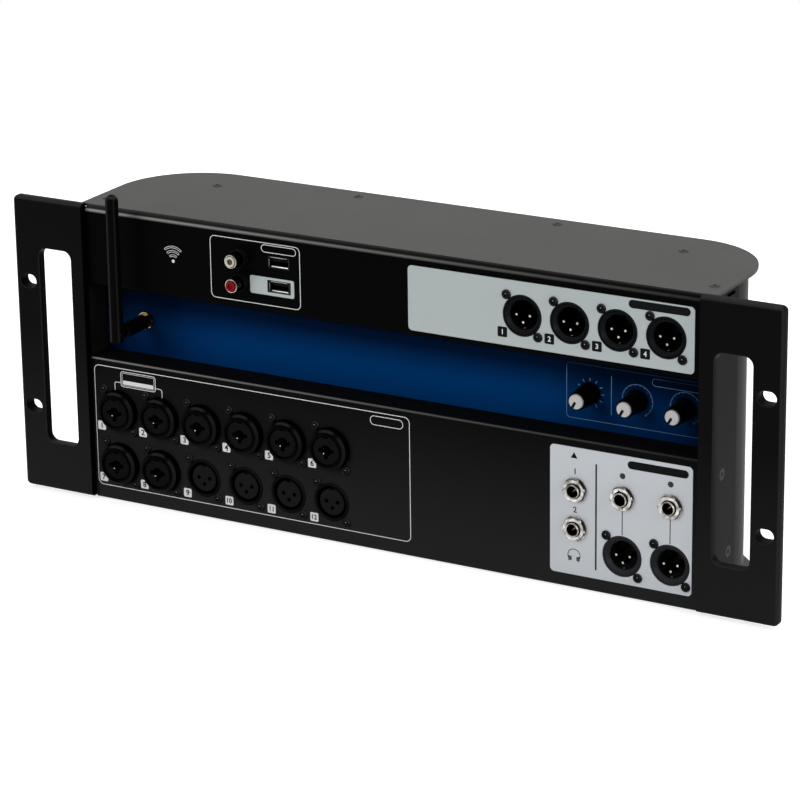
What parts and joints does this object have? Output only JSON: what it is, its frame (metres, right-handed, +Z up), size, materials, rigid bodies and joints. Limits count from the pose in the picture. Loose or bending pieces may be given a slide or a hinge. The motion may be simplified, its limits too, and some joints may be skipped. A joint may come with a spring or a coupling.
{
  "type": "rack-mount digital mixer",
  "caption": "Four-unit rack-mount digital mixer and stage box with a sunken control strip, sockets, volume knobs, a hinged antenna and handle ears.",
  "frame": {"origin": "middle of the bottom cover's underside across the width, halfway between the rack ears' front faces and the covers' rear edge", "axes": "+X to the right seen from the front, -Y out of the front panel, +Z up"},
  "size_m": [0.4826, 0.1159, 0.1907],
  "materials": {
    "black_panel": "fine satin black powder coat",
    "blue_print": "glossy deep blue printed film, darker towards the ends",
    "silver_print": "satin silver screen print",
    "grey_cover": "satin warm grey powder coat",
    "grey_wall": "satin dark grey powder coat",
    "black_ear": "fine satin black powder coat",
    "grey_screw": "dark countersunk screw, painted with the case",
    "plated_steel": "zinc plated",
    "black_screw": "black oxide cross-head screw",
    "black_shell": "black coated die-cast shell",
    "black_insert": "black moulded nylon",
    "gilt_contact": "gold-flashed contact",
    "chrome_trim": "bright nickel plate",
    "light_lens": "dark tinted lens, unlit",
    "white_plastic": "white moulded plastic",
    "red_plastic": "red moulded plastic",
    "knob_black": "soft black plastic",
    "knob_white": "white cap with a black pointer line",
    "gilt_trim": "gold plated",
    "antenna_black": "satin black plastic",
    "rocker_black": "gloss black plastic",
    "board_green": "green glass-fibre board",
    "supply_metal": "bare aluminium case"
  },
  "bodies": {
    "case": {"front_panel": "black_panel", "blue_fascia": "blue_print", "aux_label": "silver_print", "master_label": "silver_print", "rec_label": "silver_print", "top_cover": "grey_cover", "bottom_cover": "grey_cover", "chassis_wall": "grey_wall", "left_ear": "black_ear", "right_ear": "black_ear", "cover_screws": "grey_screw", "ear_screws": "grey_screw", "corner_pillars": "plated_steel", "connector_screws": "black_screw", "combo_sockets": "black_shell", "combo_inserts": "black_insert", "mic_sockets": "black_shell", "mic_inserts": "black_insert", "aux_output_sockets": "black_shell", "master_output_sockets": "black_shell", "output_pins": "gilt_contact", "jack_bodies": "black_insert", "jack_bushes": "chrome_trim", "jack_nuts": "chrome_trim", "status_lights": "light_lens", "line_in_body": "black_insert", "line_in_rings": "chrome_trim", "line_in_core_left": "white_plastic", "line_in_core_right": "red_plastic", "usb_shells": "chrome_trim", "usb_tongues": "white_plastic", "volume_pots": "plated_steel", "antenna_jack": "gilt_trim", "antenna_coupling_nut": "gilt_trim", "power_inlet": "black_insert", "inlet_blades": "gilt_contact", "inlet_screws": "black_screw", "switch_frame": "black_insert", "network_jack": "chrome_trim", "main_board": "board_green", "board_spacers": "plated_steel", "power_supply": "supply_metal"},
    "phones_control": {"phones_shaft": "plated_steel", "phones_knob": "knob_black", "phones_knob_cap": "knob_white"},
    "mix_left_control": {"mix_left_shaft": "plated_steel", "mix_left_knob": "knob_black", "mix_left_knob_cap": "knob_white"},
    "mix_right_control": {"mix_right_shaft": "plated_steel", "mix_right_knob": "knob_black", "mix_right_knob_cap": "knob_white"},
    "antenna_turret": {"antenna_swivel": "antenna_black", "antenna_pin": "plated_steel"},
    "antenna_mast": {"antenna_arm": "antenna_black"},
    "power_switch": {"power_rocker": "rocker_black"}
  },
  "joints": [
    {"name": "phones_volume", "type": "hinge", "parent": "case", "child": "phones_control", "pos_m": [0.1197, -0.0381, 0.1075], "axis": [0, 1, 0], "range_deg": [0, 300]},
    {"name": "mix_left_volume", "type": "hinge", "parent": "case", "child": "mix_left_control", "pos_m": [0.1481, -0.0381, 0.1075], "axis": [0, 1, 0], "range_deg": [0, 300]},
    {"name": "mix_right_volume", "type": "hinge", "parent": "case", "child": "mix_right_control", "pos_m": [0.1765, -0.0381, 0.1075], "axis": [0, 1, 0], "range_deg": [0, 300]},
    {"name": "antenna_turn", "type": "hinge", "parent": "case", "child": "antenna_turret", "pos_m": [-0.1652, -0.0371, 0.108], "axis": [0, 1, 0], "continuous": true},
    {"name": "antenna_fold", "type": "hinge", "parent": "antenna_turret", "child": "antenna_mast", "pos_m": [-0.1652, -0.0607, 0.108], "axis": [1, 0, 0], "range_deg": [0, 90]},
    {"name": "power_rock", "type": "hinge", "parent": "case", "child": "power_switch", "pos_m": [0.062, 0.0438, 0.038], "axis": [1, 0, 0], "range_deg": [-18, 0]}
  ]
}
